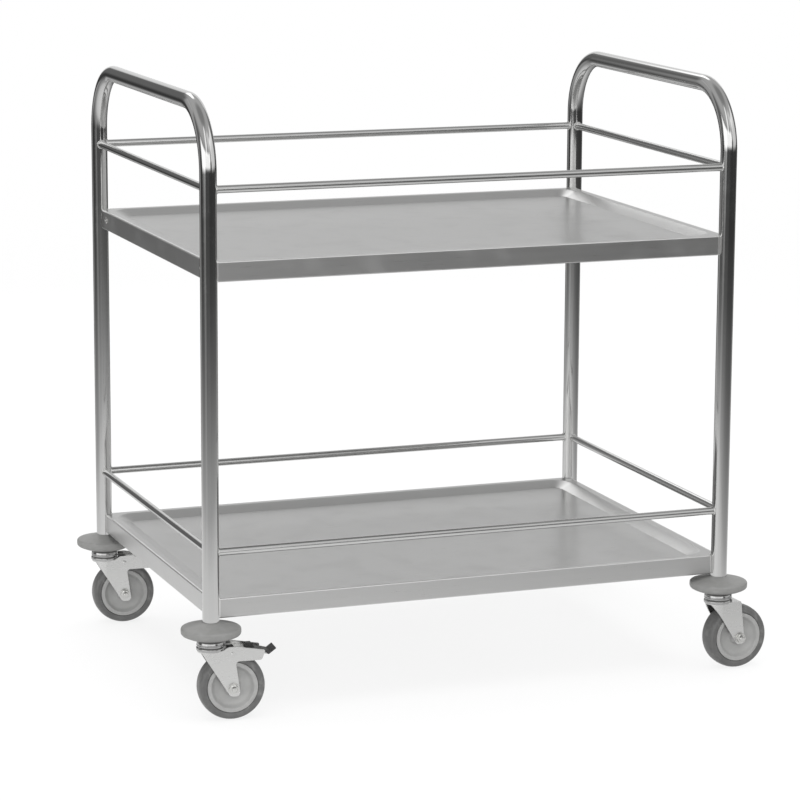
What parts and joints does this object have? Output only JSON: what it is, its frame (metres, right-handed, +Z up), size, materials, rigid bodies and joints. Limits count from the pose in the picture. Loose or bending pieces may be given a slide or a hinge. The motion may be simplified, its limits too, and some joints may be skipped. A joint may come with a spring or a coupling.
{
  "type": "two-shelf service trolley",
  "caption": "Stainless service trolley: two sunken shelves with guard rails between tube end frames that form push handles, on swivel castors with bumper discs, some braked.",
  "frame": {"origin": "on the floor, under the middle of the bounding box", "axes": "+X along the shelves from the braked end to the plain end, +Y from the front long side to the back one, +Z up"},
  "size_m": [0.9434, 0.6688, 0.913],
  "materials": {
    "tube_steel": "polished stainless tube",
    "rail_steel": "polished stainless bar",
    "shelf_steel": "brushed stainless sheet",
    "fork_steel": "bright zinc-plated pressing",
    "race_steel": "bright turned steel",
    "fastener_steel": "bright zinc-plated",
    "bumper_rubber": "matt grey moulded rubber",
    "tyre_rubber": "smooth dark grey rubber",
    "hub_plastic": "light grey moulded plastic",
    "expander_plastic": "black plastic",
    "pedal_plastic": "black moulded plastic"
  },
  "bodies": {
    "frame": {"end_frame_left": "tube_steel", "end_frame_right": "tube_steel", "upper_shelf": "shelf_steel", "lower_shelf": "shelf_steel", "skirt_screw_front": "fastener_steel", "skirt_screw_back": "fastener_steel", "upper_rail_front": "rail_steel", "upper_rail_back": "rail_steel", "upper_rail_left": "rail_steel", "upper_rail_right": "rail_steel", "lower_rail_front": "rail_steel", "lower_rail_back": "rail_steel", "lower_rail_left": "rail_steel", "lower_rail_right": "rail_steel", "bumper_front_left": "bumper_rubber", "expander_front_left": "expander_plastic", "stem_front_left": "fastener_steel", "swivel_cap_front_left": "race_steel", "bumper_back_left": "bumper_rubber", "expander_back_left": "expander_plastic", "stem_back_left": "fastener_steel", "swivel_cap_back_left": "race_steel", "bumper_front_right": "bumper_rubber", "expander_front_right": "expander_plastic", "stem_front_right": "fastener_steel", "swivel_cap_front_right": "race_steel", "bumper_back_right": "bumper_rubber", "expander_back_right": "expander_plastic", "stem_back_right": "fastener_steel", "swivel_cap_back_right": "race_steel"},
    "castor_front_left": {"fork_front_left": "fork_steel", "axle_bolt_front_left": "fastener_steel", "axle_nut_front_left": "fastener_steel", "axle_sleeve_front_left": "fastener_steel"},
    "wheel_front_left": {"wheel_hub_front_left": "hub_plastic", "tyre_front_left": "tyre_rubber"},
    "brake_front_left": {"brake_lever_front_left": "fork_steel", "brake_pad_front_left": "pedal_plastic"},
    "castor_back_left": {"fork_back_left": "fork_steel", "axle_bolt_back_left": "fastener_steel", "axle_nut_back_left": "fastener_steel", "axle_sleeve_back_left": "fastener_steel"},
    "wheel_back_left": {"wheel_hub_back_left": "hub_plastic", "tyre_back_left": "tyre_rubber"},
    "brake_back_left": {"brake_lever_back_left": "fork_steel", "brake_pad_back_left": "pedal_plastic"},
    "castor_front_right": {"fork_front_right": "fork_steel", "axle_bolt_front_right": "fastener_steel", "axle_nut_front_right": "fastener_steel", "axle_sleeve_front_right": "fastener_steel"},
    "wheel_front_right": {"wheel_hub_front_right": "hub_plastic", "tyre_front_right": "tyre_rubber"},
    "castor_back_right": {"fork_back_right": "fork_steel", "axle_bolt_back_right": "fastener_steel", "axle_nut_back_right": "fastener_steel", "axle_sleeve_back_right": "fastener_steel"},
    "wheel_back_right": {"wheel_hub_back_right": "hub_plastic", "tyre_back_right": "tyre_rubber"}
  },
  "joints": [
    {"name": "castor_front_left_swivel", "type": "hinge", "parent": "frame", "child": "castor_front_left", "pos_m": [-0.4273, -0.29, 0.115], "axis": [0, 0, 1], "continuous": true},
    {"name": "wheel_front_left_spin", "type": "hinge", "parent": "castor_front_left", "child": "wheel_front_left", "pos_m": [-0.39841, -0.29253, 0.05], "axis": [0.0872, 0.9962, 0], "continuous": true},
    {"name": "brake_front_left_pedal", "type": "hinge", "parent": "castor_front_left", "child": "brake_front_left", "pos_m": [-0.39891, -0.29248, 0.102], "axis": [0.0872, 0.9962, 0], "range_deg": [0, 10]},
    {"name": "castor_back_left_swivel", "type": "hinge", "parent": "frame", "child": "castor_back_left", "pos_m": [-0.4273, 0.29, 0.115], "axis": [0, 0, 1], "continuous": true},
    {"name": "wheel_back_left_spin", "type": "hinge", "parent": "castor_back_left", "child": "wheel_back_left", "pos_m": [-0.39841, 0.28747, 0.05], "axis": [0.0872, 0.9962, 0], "continuous": true},
    {"name": "brake_back_left_pedal", "type": "hinge", "parent": "castor_back_left", "child": "brake_back_left", "pos_m": [-0.39891, 0.28752, 0.102], "axis": [0.0872, 0.9962, 0], "range_deg": [0, 10]},
    {"name": "castor_front_right_swivel", "type": "hinge", "parent": "frame", "child": "castor_front_right", "pos_m": [0.3927, -0.29, 0.115], "axis": [0, 0, 1], "continuous": true},
    {"name": "wheel_front_right_spin", "type": "hinge", "parent": "castor_front_right", "child": "wheel_front_right", "pos_m": [0.42166, -0.28848, 0.05], "axis": [-0.0523, 0.9986, 0], "continuous": true},
    {"name": "castor_back_right_swivel", "type": "hinge", "parent": "frame", "child": "castor_back_right", "pos_m": [0.3927, 0.29, 0.115], "axis": [0, 0, 1], "continuous": true},
    {"name": "wheel_back_right_spin", "type": "hinge", "parent": "castor_back_right", "child": "wheel_back_right", "pos_m": [0.42166, 0.29152, 0.05], "axis": [-0.0523, 0.9986, 0], "continuous": true}
  ]
}
